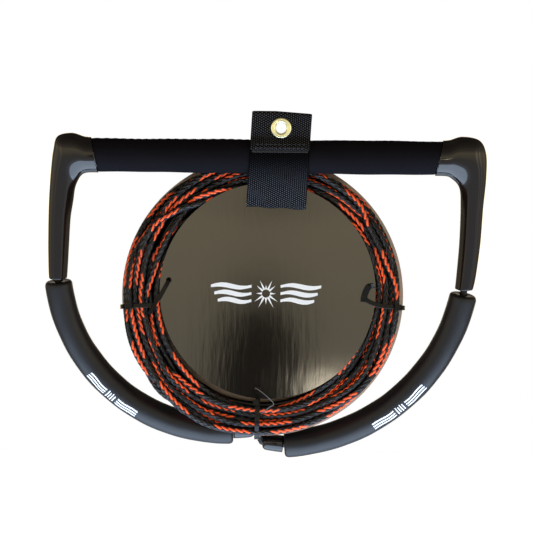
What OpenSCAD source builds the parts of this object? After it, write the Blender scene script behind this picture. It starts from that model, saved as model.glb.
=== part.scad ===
// Tow rope handle, packed for hanging: a bar with moulded elbows and a floating bridle,
// a coiled main rope between two round cards, three cable ties, and a webbing hang strap.
// The origin is the middle of the brass eyelet. X runs along the bar, Z is up, -Y is the front.

/* [Bar and grip] */
// Distance from the eyelet down to the bar's axis
bar_drop = 24.5; // [24:0.5:26]
// Distance from the eyelet to the middle of the bar, to the left
bar_shift = 12; // [8:0.5:14]
// Distance from the hanging tab's plane back to the bar's axis
bar_back = 9.6; // [9.4:0.1:10.5]
// Outer diameter of the aluminium bar
bar_d = 25; // [24:0.1:25.2]
// Wall thickness of the bar
bar_wall = 2; // [1.5:0.1:3]
// Outer diameter of the padded grip
grip_d = 29; // [28:0.1:29.2]
// Half of the grip's length
grip_half = 148; // [140:1:148]

/* [Elbows] */
// Outer diameter of the elbow's socket, beside the grip
socket_d = 31; // [30:0.1:32]
// From the bar's axis down to the left leg's end, in the handle's plane
left_leg_reach = 108.6; // [106:0.1:113]
// From the bar's axis down to the right leg's end, in the handle's plane
right_leg_reach = 114.8; // [110:0.1:115]
// How far the left leg's end bows outwards
left_bow = 4; // [2:0.5:5]
// How far the right leg's end bows outwards, negative for inwards
right_bow = -4; // [-5:0.5:-2]
// Angle between the handle's plane and the hanging plane, with the legs pushed back by the coil
handle_tilt = 12.3; // [12.3:0.1:14]

/* [Bridle and floats] */
// Diameter of the bridle rope
bridle_d = 6.4; // [6:0.1:6.6]
// Outer diameter of the foam floats
float_d = 23.8; // [22:0.1:24]
// Diameter of the hole through the floats
float_bore = 8.4; // [8:0.1:9]
// Radius that the left float bends to
left_float_r = 146.5; // [146:0.1:147]
// Radius that the right float bends to
right_float_r = 166.5; // [166:0.1:167]
// Length of the left float along its middle
left_float_len = 220.2; // [214:0.1:221]
// Length of the right float along its middle
right_float_len = 218.9; // [216:0.1:221]
// Largest diameter of the glossy end sleeves
sleeve_d = 15; // [13:0.1:15.5]
// Length of the end sleeves
sleeve_len = 18; // [16:0.5:18]

/* [Main rope] */
// Diameter of the main rope
rope_d = 6; // [5.8:0.1:6]
// Outer radius of the coil
coil_r = 119.5; // [118:0.5:119.5]
// Inner radius of the coil
coil_inner_r = 89; // [89:0.5:92]
// Thickness of the coil from front to back
coil_depth = 23; // [20:0.5:23]

/* [Cards and ties] */
// Thickness of the two printed cards
card_t = 0.8; // [0.5:0.1:0.8]
// Radius of the front card
front_card_r = 93; // [90:1:95]
// Radius of the rear card
rear_card_r = 121.2; // [119:0.1:121.7]
// Radius of the punched holes that the ties pass through
punch_r = 2.5; // [2.3:0.1:3]
// Width of the cable ties
tie_w = 3.8; // [3:0.1:4]
// Thickness of the cable ties
tie_t = 1.2; // [0.8:0.1:1.2]

/* [Hang strap] */
// Width of the webbing
strap_w = 51; // [48:0.5:52]
// Thickness of the webbing
strap_t = 1.6; // [1.2:0.1:1.6]
// Radius of the hole through the eyelet
eyelet_r = 4.5; // [4:0.1:4.8]
// Outer radius of the eyelet's flange
eyelet_flange_r = 8.9; // [8:0.1:10]

/* [Hidden] */

$fn = 64;
gap = 0.05;                 // between pieces that sit on each other
bar_end = 161;              // half of the bar's length
bend_r = 15;                // radius that the bridle rope turns through inside an elbow
channel_r = 4.2;            // rope channel inside an elbow
left_lean = 1.5;            // angle of the left leg's channel, outwards
right_lean = -3.2;          // angle of the right leg's channel, outwards

// centres of the two float arcs, in the handle's plane
left_arc = [-33, -95.2];
right_arc = [7.2, -87.3];
left_float_end = 272.4;     // angle of each float's lower end
right_float_end = -86.5;
left_float_turn = left_float_len / left_float_r * 180 / PI;
right_float_turn = right_float_len / right_float_r * 180 / PI;

// depths, from the hanging tab's plane back
front_card_y = bar_back + 14.2;
coil_y = front_card_y + card_t + 0.2;
rear_card_y = coil_y + coil_depth + 0.2;
pack_back = rear_card_y + card_t;

coil_centre = [-14, -147];
front_card_centre = [-10.2, -140.2];
rear_card_centre = [-14.5, -143.8];
// where the strap goes through the cards
slot_w = 51.9;
front_slot = [-3.65, -66.2];
rear_slot = [-3.55, -65.2];
front_slot_h = 3.1;
rear_slot_h = 4.1;
lead_hole = [-35, -131];    // where the rope lead goes through the rear card
lead_hole_r = 9;

// each tie: the hole that it passes through, the direction to the rim, and the reach
left_punch = [-95.3, -131.6];
left_tie_turn = 210;
left_tie_reach = 47.4;
tie_slant = 5;              // the rear holes are this much nearer the rim
right_punch = [73, -145.6];
right_tie_turn = -13;
right_tie_reach = 35.6;
bottom_punch = [-17.9, -224.1];
bottom_tie_turn = -91;
bottom_tie_reach = 43.4;

// strap layers in the hanging tab, front to back, as offsets of each layer's middle
flap_y = -1.65;
strap_end_y = 0.05;
strap_rear_y = 1.75;
tab_top = 12.2;             // height where the webbing starts to fold over
wrap_r = grip_d / 2 + 0.4 + strap_t / 2;
patch_t = 0.8;
loop_patch_r = wrap_r + strap_t / 2 + gap + patch_t / 2;
hook_patch_r = loop_patch_r + patch_t + gap;
flap_r = hook_patch_r + patch_t / 2 + gap + strap_t / 2;
strap_bottom = -66.7;       // lowest point of the strap's middle
strap_lean = 0.054;         // how far the strap leans, per unit of height

black = [0.09, 0.09, 0.11];
charcoal = [0.17, 0.18, 0.2];
umber = [0.16, 0.14, 0.12];
olive = [0.25, 0.23, 0.19];
orange = [0.85, 0.3, 0.12];
brass = [0.85, 0.75, 0.4];

// ---------- helpers ----------

function unit(v) = v / norm(v);
function at_angle(c, r, a) = [c[0] + r * cos(a), c[1] + r * sin(a)];
function arc(c, r, a0, a1, steps) = [for (i = [0:steps]) at_angle(c, r, a0 + (a1 - a0) * i / steps)];
function in_plane(flat) = [for (p = flat) [p[0], 0, p[1]]];

// a smooth curve through points, with steps points for each stretch
function curve_at(a, b, c, d, s) =
    0.5 * (2 * b + (c - a) * s + (2 * a - 5 * b + 4 * c - d) * s * s + (3 * b - a - 3 * c + d) * s * s * s);
function smooth(p, steps) = [
    for (i = [0:len(p) - 2], k = [0:steps - 1])
        curve_at(p[max(i - 1, 0)], p[i], p[i + 1], p[min(i + 2, len(p) - 1)], k / steps),
    p[len(p) - 1]
];

function heading(p, i, closed) =
    let (n = len(p))
    unit(closed ? p[(i + 1) % n] - p[(i + n - 1) % n] : p[min(i + 1, n - 1)] - p[max(i - 1, 0)]);

// the side faces between rings of points, as triangles, and flat ends where the tube is open
function tube_faces(rings, sides, closed) = concat(
    [for (i = [0:(closed ? rings : rings - 1) - 1], k = [0:sides - 1], half = [0, 1])
        let (j = (i + 1) % rings, m = (k + 1) % sides,
             a = i * sides + k, b = i * sides + m, c = j * sides + m, d = j * sides + k)
        half == 0 ? [a, d, c] : [a, c, b]],
    closed ? [] : [[for (k = [0:sides - 1]) k], [for (k = [0:sides - 1]) rings * sides - 1 - k]]
);

// a round tube along the points p
module sweep(p, r, sides, closed = false) {
    count = len(p);
    t = [for (i = [0:count - 1]) heading(p, i, closed)];
    up = abs(t[0][1]) > 0.9 ? [1, 0, 0] : [0, 1, 0];
    n = [for (i = 0, v = unit(up - (up * t[0]) * t[0]); i < count;
              i = i + 1, v = i < count ? unit(v - (v * t[i]) * t[i]) : v) v];
    rings = [for (i = [0:count - 1], k = [0:sides - 1])
        p[i] + r * (cos(360 * k / sides) * n[i] + sin(360 * k / sides) * cross(t[i], n[i]))];
    polyhedron(rings, tube_faces(count, sides, closed), convexity = 8);
}

// a flat band of thickness t along a path of [y, z] points, width w along X
module band(path, t, w) {
    n = len(path);
    side = [for (i = [0:n - 1])
        let (h = unit(path[min(i + 1, n - 1)] - path[max(i - 1, 0)])) [-h[1], h[0]] * t / 2];
    outline = concat([for (i = [0:n - 1]) path[i] + side[i]],
                     [for (i = [n - 1:-1:0]) path[i] - side[i]]);
    rotate([90, 0, 90]) translate([0, 0, -w / 2]) linear_extrude(w) polygon(outline);
}

module along_x(length) {
    rotate([0, 90, 0]) translate([0, 0, -length / 2]) children();
}

// puts children that are drawn about the bar's middle, legs straight down, in their place
module handle_place() {
    translate([-bar_shift, bar_back, -bar_drop]) rotate([handle_tilt, 0, 0]) children();
}

// a disc of card whose front face is at depth y
module card_disc(centre, r, y) {
    translate([centre[0], y, centre[1]]) rotate([-90, 0, 0]) cylinder(h = card_t, r = r, $fn = 128);
}

// a round hole through a card whose front face is at depth y
module punch(centre, r, y) {
    translate([centre[0], y - 1, centre[1]]) rotate([-90, 0, 0]) cylinder(h = card_t + 2, r = r);
}

// the slot that the strap passes through
module strap_slot(centre, height, y) {
    translate([centre[0] - slot_w / 2, y - 1, centre[1] - height / 2])
        cube([slot_w, card_t + 2, height]);
}

// a point on a tie's line, at a distance from its front hole
function from_hole(hole, turn, distance) = at_angle(hole, distance, turn);

// ---------- handle ----------

module bar_tube() {
    color([0.75, 0.76, 0.78]) handle_place() along_x(2 * bar_end) difference() {
        cylinder(h = 2 * bar_end, d = bar_d);
        translate([0, 0, -1]) cylinder(h = 2 * bar_end + 2, d = bar_d - 2 * bar_wall);
    }
}

module grip_sleeve() {
    color(black) handle_place() along_x(2 * grip_half) difference() {
        cylinder(h = 2 * grip_half, d = grip_d);
        translate([0, 0, -1]) cylinder(h = 2 * grip_half + 2, d = bar_d + 2 * gap);
    }
}

seam = grip_half + 0.3;  // where the elbows' sockets begin

// Sections of an elbow from its socket to its leg's end:
// inner point [x, z], outer point [x, z] and half depth. shoulder is how square its outer corner is.
function elbow_sections(reach, shoulder) = [
    [[seam, -socket_d / 2], [seam, socket_d / 2], socket_d / 2],
    [[154, -15.8], [157, 16.2], 15.2],
    [[159, -18], [168, 19.1], 14.4],
    [[163.1 + shoulder, -23], [181.6 + 1.2 * shoulder, 16], 13.4],
    [[165.5 + shoulder, -30], [186.6 + 2.4 * shoulder, 4], 12.6],
    [[166.5 + 0.7 * shoulder, -41], [187.9 + 1.5 * shoulder, -17], 12],
    [[167.5, -56], [187.4, -44], 11.6],
    [[167.6, -78], [186.5, -74], 11],
    [[167.2, 11 - reach], [184.7, 12 - reach], 10.4],
    [[167, -reach], [183.2, -reach], 10]
];

function bowed(p, bow, reach) =
    let (t = max(0, (-p[1] - 15) / (reach - 15))) [p[0] + bow * t * t, p[1]];

module elbow_body(bow, reach, shoulder) {
    sides = 24;
    steps = 3;
    sections = elbow_sections(reach, shoulder);
    inner = smooth([for (s = sections) bowed(s[0], bow, reach)], steps);
    outer = smooth([for (s = sections) bowed(s[1], bow, reach)], steps);
    depth = smooth([for (s = sections) [s[2]]], steps);
    rings = [for (i = [0:len(inner) - 1], k = [0:sides - 1])
        let (a = 360 * k / sides, mid = (inner[i] + outer[i]) / 2, half = (outer[i] - inner[i]) / 2,
             p = mid + half * cos(a))
        [p[0], -depth[i][0] * sin(a), p[1]]];
    polyhedron(rings, tube_faces(len(inner), sides, false), convexity = 6);
}

module elbow(bow, lean, reach, shoulder) {
    difference() {
        elbow_body(bow, reach, shoulder);
        translate([seam - 1, 0, 0]) rotate([0, 90, 0]) cylinder(h = bar_end - seam + 1 + gap, d = bar_d + 2 * gap);
        translate([bar_end - 1, 0, 0]) rotate([0, 90, 0]) cylinder(h = 1.8, r = channel_r + 0.1);
        translate([bar_end + 0.5, 0, -bend_r]) {
            rotate([-90, 0, 0]) rotate([0, 0, -90]) rotate_extrude(angle = 90 - lean)
                translate([bend_r, 0]) circle(r = channel_r);
            rotate([0, -lean, 0]) translate([bend_r, 0, -reach]) cylinder(h = reach + 0.6, r = channel_r + 0.1);
        }
    }
}

module left_elbow() {
    color(umber) handle_place() mirror([1, 0, 0]) elbow(left_bow, left_lean, left_leg_reach, -1);
}

module right_elbow() {
    color(umber) handle_place() elbow(right_bow, right_lean, right_leg_reach, 1);
}

// ---------- bridle ----------

// half of the bridle's route inside the bar and one elbow, from the bar's middle outwards
function bar_route(lean) =
    let (turn = 90 - lean, c = [bar_end + 0.5, -bend_r], e = at_angle(c, bend_r, 90 - turn),
         down = [sin(lean), -cos(lean)])
    concat([[40, 0], [80, 0], [120, 0], [155, 0]], arc(c, bend_r, 90, 90 - turn, 5),
           [e + down * 30, e + down * 62, e + down * 88]);

function mirrored(flat) = [for (p = flat) [-p[0], p[1]]];
function backwards(p) = [for (i = [len(p) - 1:-1:0]) p[i]];

left_arc_start = left_float_end - left_float_turn;
right_arc_start = right_float_end + right_float_turn;

// the rope between the two end sleeves, left to right
apex_route = [[-9.5, -240.8], [-6, -241.5], [-3.8, -246.4], [-1.6, -251.4], [1.8, -252.4]];

bridle_route = concat(
    [[0, 0]],
    bar_route(right_lean),
    arc(right_arc, right_float_r, right_arc_start, right_float_end, 11),
    backwards(smooth(apex_route, 2)),
    backwards(arc(left_arc, left_float_r, left_arc_start, left_float_end, 12)),
    backwards(mirrored(bar_route(left_lean)))
);

module bridle_rope() {
    color(black) handle_place() sweep(in_plane(bridle_route), bridle_d / 2, 10, closed = true);
}

// the lump where the main rope is spliced into the bridle
splice_centre = [-4.2, -243.8];
splice_r = 4.8;

module bridle_splice() {
    color(black) handle_place() translate([splice_centre[0], 0, splice_centre[1]]) sphere(r = splice_r);
}

// a foam float bent to an arc from angle a0 to a1, in the handle's plane
module foam_float(centre, r, a0, a1) {
    translate([centre[0], 0, centre[1]]) rotate([90, 0, 0]) rotate([0, 0, a0])
        rotate_extrude(angle = a1 - a0, $fn = 180) translate([r, 0]) difference() {
            circle(d = float_d);
            circle(d = float_bore);
        }
}

module left_float() {
    color(charcoal) handle_place() foam_float(left_arc, left_float_r, left_arc_start, left_float_end);
}

module right_float() {
    color(charcoal) handle_place() foam_float(right_arc, right_float_r, right_float_end, right_arc_start);
}

// a glossy sleeve over the rope, with a rounded nose, drawn along +Z
module end_sleeve() {
    nose = 3;
    r = sleeve_d / 2;
    rotate_extrude() difference() {
        union() {
            polygon([[0, 0], [r, 0], [r - 0.6, sleeve_len - nose], [0, sleeve_len - nose]]);
            intersection() {
                translate([0, sleeve_len - nose]) scale([(r - 0.6) / nose, 1]) circle(r = nose);
                translate([0, sleeve_len - nose]) square([r, nose]);
            }
        }
        square([bridle_d / 2 + gap, 3 * sleeve_len], center = true);
    }
}

module left_end_sleeve() {
    end = at_angle(left_arc, left_float_r, left_float_end);
    color(black) handle_place() translate([end[0] + 0.2, 0, end[1]]) rotate([0, 87.5, 0]) end_sleeve();
}

module right_end_sleeve() {
    end = at_angle(right_arc, right_float_r, right_float_end);
    color(black) handle_place() translate([end[0] - 1.1, 0, end[1]]) rotate([0, -87, 0]) end_sleeve();
}

// ---------- hang strap ----------

// points of a layer that comes down the tab at depth y and meets a circle about the bar
bar_yz = [bar_back, -bar_drop];
function touch(p, r, side) =
    let (d = p - bar_yz) atan2(d[1], d[0]) + side * acos(r / norm(d));

strap_end_low = [strap_end_y, -11];
strap_leaves = [front_card_y - 0.7, strap_bottom + 1.3];  // where it turns in, before the front card
strap_front = concat(
    [[strap_end_y, 9.5], strap_end_low],
    arc(bar_yz, wrap_r, touch(strap_end_low, wrap_r, 1), touch(strap_leaves, wrap_r, -1) + 360, 14)
);
rear_y = pack_back + 0.1 + strap_t / 2;
turn_in_r = 3.2;            // bends of the strap before the front card and behind the rear card
turn_up_r = 4;
strap_under = concat(
    arc([front_card_y + 1.9, strap_bottom + turn_in_r], turn_in_r, 219, 270, 4),
    arc([rear_y - turn_up_r, strap_bottom + turn_up_r], turn_up_r, 270, 360, 5)
);
// up behind the rear card, over its edge and the bar, then a crease up into the tab
card_top = rear_card_centre[1] + rear_card_r;
over_r = 5;                 // bend over the rear card's edge
rear_bend = [rear_y - over_r, card_top - 0.9];
crease_r = 1.5;
crease = [strap_rear_y + crease_r, -8.6];
strap_rear = concat(
    arc(rear_bend, over_r, 0, 80, 5),
    arc(bar_yz, wrap_r, touch(at_angle(rear_bend, over_r, 80), wrap_r, 1), 111, 4),
    arc(crease, crease_r, 262, 180, 4),
    arc([(strap_rear_y + flap_y) / 2, tab_top], (strap_rear_y - flap_y) / 2, 0, 180, 8)
);
flap_low = [flap_y, -9.1];
flap_ends = 163;
strap_flap = concat(
    [flap_low],
    arc(bar_yz, flap_r, touch(flap_low, flap_r, 1), flap_ends, 6)
);

module eyelet_hole() {
    rotate([90, 0, 0]) cylinder(h = 8, r = eyelet_r + 0.8, center = true);
}

module strap_loop() {
    color(charcoal) difference() {
        multmatrix([[1, 0, strap_lean, 0], [0, 1, 0, 0], [0, 0, 1, 0], [0, 0, 0, 1]])
            band(concat(strap_front, strap_under, strap_rear, strap_flap), strap_t, strap_w);
        eyelet_hole();
    }
}

// both patches lie beside the bar, where the strap has leaned this far to the left
patch_x = -17 * strap_lean;

module hook_patch() {
    color(black) translate([patch_x, 0, 0])
        band(arc(bar_yz, hook_patch_r, 146, 160, 4), patch_t, strap_w - 3);
}

module loop_patch() {
    color(black) translate([patch_x, 0, 0])
        band(arc(bar_yz, loop_patch_r, 146, 168, 5), patch_t, strap_w - 3);
}

// two rows of stitches across the flap, which hold the hook patch
module strap_stitching() {
    pitch = 4;
    count = 11;
    color(black) for (a = [149, 159], i = [0:count - 1])
        let (spot = at_angle(bar_yz, flap_r + strap_t / 2 + 0.33, a))
            translate([(i - (count - 1) / 2) * pitch + strap_lean * spot[1], spot[0], spot[1]])
                along_x(2.8) cylinder(h = 2.8, r = 0.3, $fn = 16);
}

// brass eyelet: flange at the front, barrel through the tab, lip rolled over the washer
module eyelet() {
    front = -(flap_y - strap_t / 2) + gap;
    back = strap_rear_y + strap_t / 2 + gap;
    washer = 0.9;
    rolled = 1.1;
    color(brass) rotate([90, 0, 0]) rotate_extrude() {
        translate([eyelet_r, -back - washer]) square([0.7, front + back + washer]);
        translate([eyelet_r, -back - washer - 0.6]) square([1.9, 0.6]);
        translate([eyelet_r, front]) square([eyelet_flange_r - eyelet_r - 1, rolled]);
        translate([eyelet_flange_r - 1.1, front]) intersection() {
            circle(r = 1.1);
            square(2);
        }
    }
}

module eyelet_washer() {
    back = strap_rear_y + strap_t / 2 + gap;
    color(brass) rotate([-90, 0, 0]) translate([0, 0, back]) difference() {
        cylinder(h = 0.85, r = eyelet_flange_r - 0.4);
        translate([0, 0, -1]) cylinder(h = 3, r = eyelet_r + 0.8);
    }
}

// ---------- pack ----------

module front_card() {
    color(olive) difference() {
        card_disc(front_card_centre, front_card_r, front_card_y);
        strap_slot(front_slot, front_slot_h, front_card_y);
        for (p = [left_punch, right_punch, bottom_punch]) punch(p, punch_r, front_card_y);
    }
}

module rear_card() {
    color(olive) difference() {
        card_disc(rear_card_centre, rear_card_r, rear_card_y);
        strap_slot(rear_slot, rear_slot_h, rear_card_y);
        punch(from_hole(left_punch, left_tie_turn, tie_slant), punch_r, rear_card_y);
        punch(right_punch, punch_r, rear_card_y);
        punch(from_hole(bottom_punch, bottom_tie_turn, tie_slant), punch_r, rear_card_y);
        punch(lead_hole, lead_hole_r, rear_card_y);
    }
}

// A cable tie through a punched hole and round the rim, with its ratchet head in front.
// The leg through the holes slants by slant, towards the rim.
module tie(hole, turn, reach, head_at, slant) {
    front = front_card_y - 0.3;
    back = pack_back + 0.3;
    head = [6, 4.6, 5.6];
    t = tie_t / 2;
    loop = [[0, front - t], [reach + t, front - t], [reach + t, back + t], [slant, back + t]];
    outer = [loop[0] + [-t, -t], loop[1] + [t, -t], loop[2] + [t, t], loop[3] + [-t, t]];
    inner = [loop[0] + [t, t], loop[1] + [-t, t], loop[2] + [-t, -t], loop[3] + [t, -t]];
    translate([hole[0], 0, hole[1]]) rotate([0, -turn, 0]) {
        rotate([-90, 0, 0]) rotate([90, 0, 0]) translate([0, 0, -tie_w / 2]) linear_extrude(tie_w) difference() {
            polygon(outer);
            polygon(inner);
        }
        translate([head_at - head[0] / 2, front - tie_t - head[1] + 0.6, -head[2] / 2]) cube(head);
    }
}

// a rectangle from the origin with round corners
module rounded(w, h, r) {
    translate([r, 0]) square([w - 2 * r, h]);
    translate([0, r]) square([w, h - 2 * r]);
    for (x = [r, w - r], y = [r, h - r]) translate([x, y]) circle(r = r);
}

module tie_left() {
    color(black) tie(left_punch, left_tie_turn, left_tie_reach, 41, tie_slant);
}

module tie_right() {
    color(black) tie(right_punch, right_tie_turn, right_tie_reach, 28, 0);
}

module tie_bottom() {
    color(black) tie(bottom_punch, bottom_tie_turn, bottom_tie_reach, 6, tie_slant);
}

// the outer shape of the wound rope
module rope_coil() {
    corner = 7;
    w = coil_r - coil_inner_r;
    color(orange) translate([coil_centre[0], coil_y, coil_centre[1]]) rotate([-90, 0, 0])
        rotate_extrude($fn = 180) translate([coil_inner_r, 0]) rounded(w, coil_depth, corner);
}

// a point in the coil's hole, by angle, radius and depth
function in_coil(a, r, y) = [coil_centre[0] + r * cos(a), y, coil_centre[1] + r * sin(a)];

// main rope from the splice, up the back of the rear card, in through its hole, out to the coil
lead_route = concat(
    [[-15.6, 58.2, -258.2], [-13, 54.8, -246.5], [-10.5, 52.8, -232], [-10, 52.1, -214],
     [-14, 52.1, -192], [-22, 52.1, -172], [-30, 52.1, -155], [-34.5, 51.6, -143],
     [-35, 48.4, -132], [-34, 43, -124], [-31, 40, -117]],
    [in_coil(100, 42, 39.5), in_coil(75, 55, 39.5), in_coil(50, 66, 39.5), in_coil(25, 75, 39.5),
     in_coil(0, 81, 39.5), in_coil(-22, 86, 39.5), in_coil(-42, 91.5, 39.5)]
);

// the rope's far end, from the coil's inner turn to the boat loop's throat
tail_y = 31.5;
tail_route = [
    in_coil(-20, 91.5, tail_y), in_coil(-40, 84, tail_y), in_coil(-60, 74, tail_y), in_coil(-80, 62, tail_y),
    in_coil(-102, 50, tail_y), in_coil(-128, 40, tail_y), in_coil(-155, 33, tail_y)
];
throat = in_coil(-155, 33, tail_y);
loop_turn = 20;             // direction of the boat loop from its throat
loop_sleeve_len = 22;

module rope_lead() {
    color(orange) sweep(smooth(lead_route, 2), rope_d / 2, 8);
}

module rope_tail() {
    color(orange) sweep(smooth(tail_route, 2), rope_d / 2, 8);
}

// the eye that goes on the boat's pylon, tucked between the cards
loop_shape = concat(
    [[0, 3.2], [10, 5.2], [24, 10.5]],
    arc([46, 0], 14, 100, -100, 8),
    [[24, -10.5], [10, -5.2], [0, -3.2]]
);
module boat_loop() {
    color(orange) translate(throat) rotate([0, -loop_turn, 0]) translate([loop_sleeve_len, 0, 0])
        sweep(in_plane(loop_shape), rope_d / 2, 8);
}

// a shrink sleeve over the splice where the eye closes
module boat_loop_sleeve() {
    color(black) translate(throat) rotate([0, 90 - loop_turn, 0]) cylinder(h = loop_sleeve_len, r = 6.4);
}

bar_tube();
grip_sleeve();
left_elbow();
right_elbow();
bridle_rope();
bridle_splice();
left_float();
right_float();
left_end_sleeve();
right_end_sleeve();
strap_loop();
hook_patch();
loop_patch();
strap_stitching();
eyelet();
eyelet_washer();
front_card();
rear_card();
tie_left();
tie_right();
tie_bottom();
rope_coil();
rope_lead();
rope_tail();
boat_loop();
boat_loop_sleeve();
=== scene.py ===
import math

import bpy
import numpy as np
from mathutils import Matrix, Vector


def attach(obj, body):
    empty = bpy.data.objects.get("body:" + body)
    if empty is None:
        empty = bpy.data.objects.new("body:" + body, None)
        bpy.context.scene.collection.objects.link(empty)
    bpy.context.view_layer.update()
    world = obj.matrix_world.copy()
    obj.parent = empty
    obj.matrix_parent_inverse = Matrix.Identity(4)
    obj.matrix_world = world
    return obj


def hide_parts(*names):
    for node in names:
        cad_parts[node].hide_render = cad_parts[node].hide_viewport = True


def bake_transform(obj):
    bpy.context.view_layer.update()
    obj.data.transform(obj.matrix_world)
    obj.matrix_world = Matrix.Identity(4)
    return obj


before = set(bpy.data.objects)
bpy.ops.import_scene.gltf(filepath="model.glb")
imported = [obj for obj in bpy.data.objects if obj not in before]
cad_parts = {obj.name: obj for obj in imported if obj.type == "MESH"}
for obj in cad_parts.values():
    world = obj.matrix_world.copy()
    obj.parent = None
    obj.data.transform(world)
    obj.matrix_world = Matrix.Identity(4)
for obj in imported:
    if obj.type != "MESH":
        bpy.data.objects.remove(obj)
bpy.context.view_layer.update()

# All sizes are in metres. The origin is the middle of the hanging eyelet.
BAR = (-0.012, 0.0096, -0.0245)  # middle of the bar
TILT = math.radians(12.3)  # the handle leans back by this much
HANDLE = Matrix.Translation(BAR) @ Matrix.Rotation(TILT, 4, "X")
COIL = (-0.014, -0.147)  # middle of the coil, x and z
LEAN = 0.054  # the hang strap leans by this much for each unit of height


# ---------- camera and studio ----------


def fill(node, **values):
    """Sets constants on a node's sockets, named with _ for a space."""
    for socket, value in values.items():
        node.inputs[socket.replace("_", " ")].default_value = value


def add_node(tree, kind, **values):
    node = tree.nodes.new("ShaderNode" + kind)
    fill(node, **values)
    return node


def make_camera():
    distance = 12.0
    seen_width = 0.4584  # what the picture takes in, at the object
    target = (-0.0114, 0.0096, -0.1191)
    roll = math.radians(-0.58)
    data = bpy.data.cameras.new("camera")
    data.sensor_width = 36
    data.lens = 36 * distance / seen_width
    camera = bpy.data.objects.new("camera", data)
    bpy.context.scene.collection.objects.link(camera)
    camera.matrix_world = (
        Matrix.Translation((target[0], target[1] - distance, target[2]))
        @ Matrix.Rotation(roll, 4, "Y")
        @ Matrix.Rotation(math.radians(90), 4, "X")
    )
    bpy.context.scene.camera = camera


def calculator(tree):
    """A function that adds a maths node to a node tree and gives its result."""

    def calc(operation, a, b=None):
        node = add_node(tree, "Math")
        node.operation = operation
        for socket, value in zip(node.inputs, (a, b)):
            if isinstance(value, (int, float)):
                socket.default_value = value
            elif value is not None:
                tree.links.new(value, socket)
        return node.outputs["Value"]

    return calc


# the room's light by height, from straight down (0) to straight up (1)
ROOM = (
    (0.0, (3.6, 4.4, 5.6)), (0.155, (3.4, 4.2, 5.4)), (0.17, (0.9, 1.0, 1.2)),
    (0.24, (0.55, 0.56, 0.6)), (0.36, (0.6, 0.56, 0.5)), (0.44, (0.95, 0.83, 0.6)),
    (0.56, (1.2, 1.02, 0.68)), (0.64, (0.6, 0.5, 0.38)), (0.78, (0.28, 0.24, 0.2)),
    (1.0, (0.1, 0.09, 0.08)),
)
# what stands ahead of the object: the middle and the size of each, as the direction's x and z,
# and how strong it is
FIGURES = (((-0.012, -0.17), (0.06, 0.13), 2.4), ((0.01, 0.135), (0.07, 0.022), 0.4))
LIGHTS = (
    ((0.106, -0.162), (0.04, 0.022), 12.0),
    ((0.66, -0.05), (0.05, 0.5), 1.3),
    ((0.85, -0.1), (0.05, 0.6), 1.0),
    ((-0.74, -0.05), (0.05, 0.5), 0.7),
)


def world_blob(calc, axes, centre, size):
    """1 at a direction and falling to 0 around it. axes are the direction's x and z."""
    total = 0.0
    for axis, middle, spread in zip(axes, centre, size):
        away = calc("DIVIDE", calc("SUBTRACT", axis, middle), spread)
        total = calc("ADD", total, calc("MULTIPLY", away, away))
    return calc("EXPONENT", calc("MULTIPLY", total, -1.0))


def room_strength(calc, x, y, z):
    """Two dark figures, a gleam and three windows ahead, and behind it a dimmer room and a screen."""

    def risen(start, slope, most):
        """0 as far back as start, and rising to most."""
        rise = calc("MULTIPLY", calc("SUBTRACT", y, start), slope)
        return calc("MINIMUM", calc("MAXIMUM", rise, 0.0), most)

    def ahead(blobs):
        total = 0.0
        for centre, size, power in blobs:
            blob = world_blob(calc, (x, z), centre, size)
            total = calc("ADD", total, calc("MULTIPLY", blob, power))
        return calc("MULTIPLY", total, calc("LESS_THAN", y, 0.0))

    strength = calc("MAXIMUM", calc("SUBTRACT", 1.0, ahead(FIGURES)), 0.02)
    strength = calc("MULTIPLY", strength, calc("SUBTRACT", 1.0, risen(0.25, 3.0, 0.7)))
    strength = calc("ADD", strength, risen(0.84, 25.0, 2.4))
    return calc("ADD", strength, ahead(LIGHTS))


def make_world():
    """White behind the object. What lights it is a dim warm room with a cool bright floor."""
    world = bpy.data.worlds.new("studio")
    bpy.context.scene.world = world
    world.use_nodes = True
    tree, links = world.node_tree, world.node_tree.links
    tree.nodes.clear()
    calc = calculator(tree)
    out = add_node(tree, "OutputWorld")
    mix = add_node(tree, "MixShader")
    seen = add_node(tree, "Background", Color=(1, 1, 1, 1), Strength=1.0)
    room = add_node(tree, "Background")
    ray = add_node(tree, "LightPath")
    where = add_node(tree, "TexCoord")
    split = add_node(tree, "SeparateXYZ")
    ramp = add_node(tree, "ValToRGB")
    links.new(where.outputs["Generated"], split.inputs["Vector"])
    x, y, z = split.outputs
    links.new(calc("ADD", calc("MULTIPLY", z, 0.5), 0.5), ramp.inputs["Fac"])
    stops = ramp.color_ramp.elements
    for stop, (height, colour) in zip(stops, (ROOM[0], ROOM[-1])):
        stop.position = height
        stop.color = (*colour, 1)
    for height, colour in ROOM[1:-1]:
        stops.new(height).color = (*colour, 1)
    links.new(room_strength(calc, x, y, z), room.inputs["Strength"])
    links.new(ramp.outputs["Color"], room.inputs["Color"])
    links.new(ray.outputs["Is Camera Ray"], mix.inputs["Fac"])
    links.new(room.outputs["Background"], mix.inputs[1])
    links.new(seen.outputs["Background"], mix.inputs[2])
    links.new(mix.outputs["Shader"], out.inputs["Surface"])


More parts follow.
